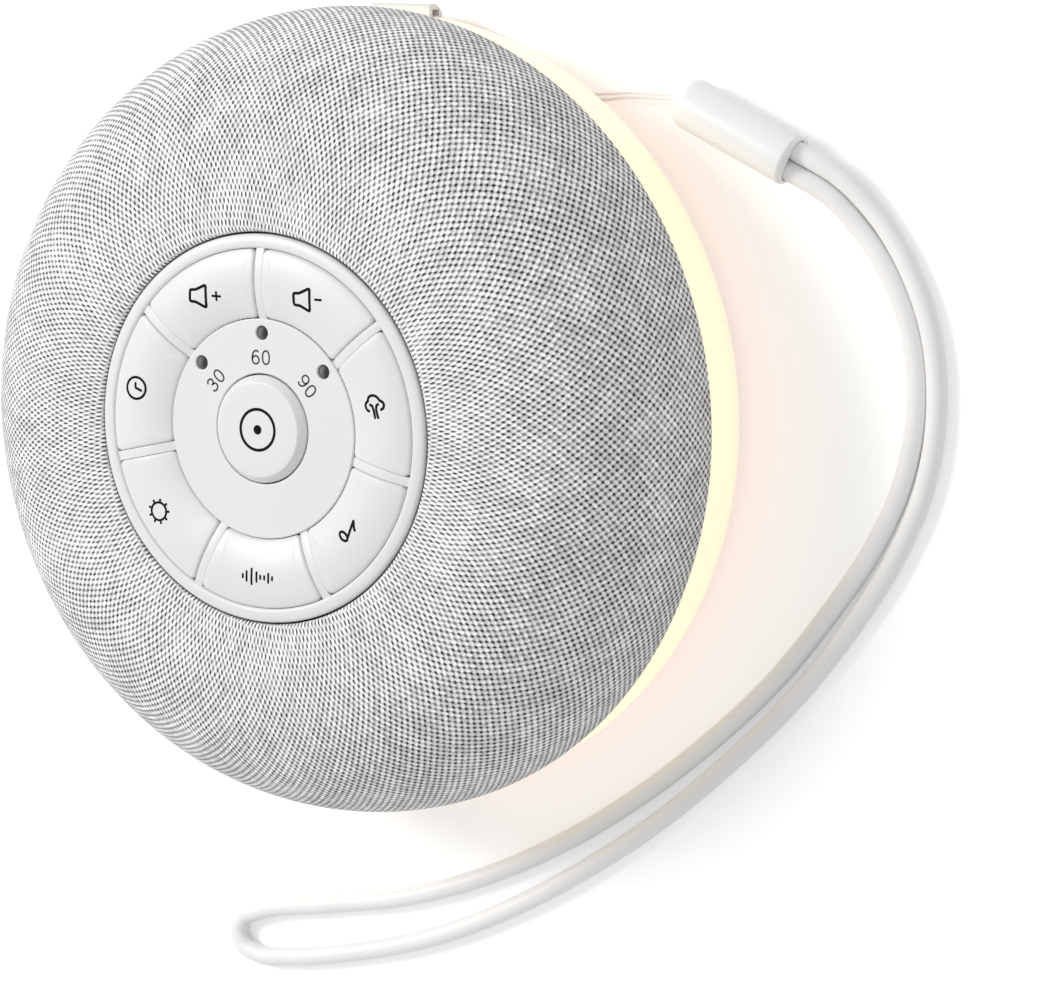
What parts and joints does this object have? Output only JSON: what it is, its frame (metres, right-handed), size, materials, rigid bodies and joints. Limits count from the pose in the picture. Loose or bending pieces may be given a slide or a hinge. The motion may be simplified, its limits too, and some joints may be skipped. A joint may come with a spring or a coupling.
{
  "type": "white noise sound machine",
  "caption": "Round portable sound machine with fabric dome, ring of push buttons round a power button, glowing light ring, back cover with foot ring, and a wrist lanyard with bead.",
  "frame": {"origin": "centre of the foot ring's underside, on the axis of the control panel, at the level of the surface the machine lies on", "axes": "+Z is the control panel's axis and points out of the buttons; +Y points to the lanyard lug, 12 o'clock on the panel; +X points to 3 o'clock"},
  "size_m": [0.1237, 0.1267, 0.0376],
  "materials": {
    "foot_silicone": "matt silicone",
    "base_plastic": "fine spark texture",
    "diffuser": "satin translucent, glowing warm white",
    "flex_board": "satin",
    "lamp": "clear resin over phosphor",
    "grey_plastic": "satin",
    "steel": "plated",
    "circuit_board": "solder mask",
    "components": "moulded epoxy",
    "battery_foil": "laminated foil",
    "foam": "closed-cell foam",
    "wire": "insulation",
    "dark_plastic": "moulded",
    "black_steel": "satin paint",
    "ferrite": "ground ferrite",
    "rubber_roll": "matt",
    "paper_cone": "pressed paper",
    "copper_coil": "enamelled wire",
    "woven_fabric": "plain weave, heather light grey",
    "panel_plastic": "smooth satin",
    "button_plastic": "smooth satin with thin black printed signs",
    "smoked_lens": "smoked",
    "silicone": "soft",
    "ribbon": "film",
    "bead_plastic": "satin",
    "string": "twisted thread",
    "cord_silicone": "smooth soft"
  },
  "bodies": {
    "housing": {"foot_ring": "foot_silicone", "back_cover": "base_plastic", "light_ring": "diffuser", "lamp_strip": "flex_board", "ring_lamps": "lamp", "lanyard_lug": "grey_plastic", "lug_pin": "steel", "port_frame": "grey_plastic", "usb_port": "steel", "main_board": "circuit_board", "main_board_parts": "components", "battery": "battery_foil", "battery_pad": "foam", "battery_lead": "wire", "chassis": "dark_plastic", "speaker_gasket": "foam", "speaker_basket": "black_steel", "speaker_magnet": "ferrite", "speaker_yoke": "steel", "speaker_surround": "rubber_roll", "speaker_lead": "wire", "front_shell": "dark_plastic", "fabric_cover": "woven_fabric", "panel_frame": "panel_plastic", "centre_plate": "panel_plastic", "timer_lenses": "smoked_lens", "keypad_mat": "silicone", "control_board": "circuit_board", "button_switches": "components", "ribbon_cable": "ribbon", "housing_screws": "steel", "panel_screws": "steel", "speaker_screws": "steel", "board_screws": "steel", "lanyard_bead": "bead_plastic", "lanyard_string": "string", "lanyard_cord": "cord_silicone"},
    "volume_up_button": {"volume_up_button": "button_plastic"},
    "volume_down_button": {"volume_down_button": "button_plastic"},
    "nature_button": {"nature_button": "button_plastic"},
    "lullaby_button": {"lullaby_button": "button_plastic"},
    "white_noise_button": {"white_noise_button": "button_plastic"},
    "night_light_button": {"night_light_button": "button_plastic"},
    "timer_button": {"timer_button": "button_plastic"},
    "power_button": {"power_button": "button_plastic"},
    "speaker_cone": {"speaker_cone": "paper_cone", "voice_coil": "copper_coil", "dust_cap": "paper_cone"}
  },
  "joints": [
    {"name": "volume_up_press", "type": "slide", "parent": "housing", "child": "volume_up_button", "axis": [0, 0, 1], "range_m": [-0.0007, 0], "stiffness_N_per_m": 1500, "springref_m": 0.0002},
    {"name": "volume_down_press", "type": "slide", "parent": "housing", "child": "volume_down_button", "axis": [0, 0, 1], "range_m": [-0.0007, 0], "stiffness_N_per_m": 1500, "springref_m": 0.0002},
    {"name": "nature_press", "type": "slide", "parent": "housing", "child": "nature_button", "axis": [0, 0, 1], "range_m": [-0.0007, 0], "stiffness_N_per_m": 1500, "springref_m": 0.0002},
    {"name": "lullaby_press", "type": "slide", "parent": "housing", "child": "lullaby_button", "axis": [0, 0, 1], "range_m": [-0.0007, 0], "stiffness_N_per_m": 1500, "springref_m": 0.0002},
    {"name": "white_noise_press", "type": "slide", "parent": "housing", "child": "white_noise_button", "axis": [0, 0, 1], "range_m": [-0.0007, 0], "stiffness_N_per_m": 1500, "springref_m": 0.0002},
    {"name": "night_light_press", "type": "slide", "parent": "housing", "child": "night_light_button", "axis": [0, 0, 1], "range_m": [-0.0007, 0], "stiffness_N_per_m": 1500, "springref_m": 0.0002},
    {"name": "timer_press", "type": "slide", "parent": "housing", "child": "timer_button", "axis": [0, 0, 1], "range_m": [-0.0007, 0], "stiffness_N_per_m": 1500, "springref_m": 0.0002},
    {"name": "power_press", "type": "slide", "parent": "housing", "child": "power_button", "axis": [0, 0, 1], "range_m": [-0.0007, 0], "stiffness_N_per_m": 1500, "springref_m": 0.0002},
    {"name": "speaker_cone_travel", "type": "slide", "parent": "housing", "child": "speaker_cone", "axis": [0, 0, 1], "range_m": [-0.0006, 0.0006], "stiffness_N_per_m": 1200}
  ]
}
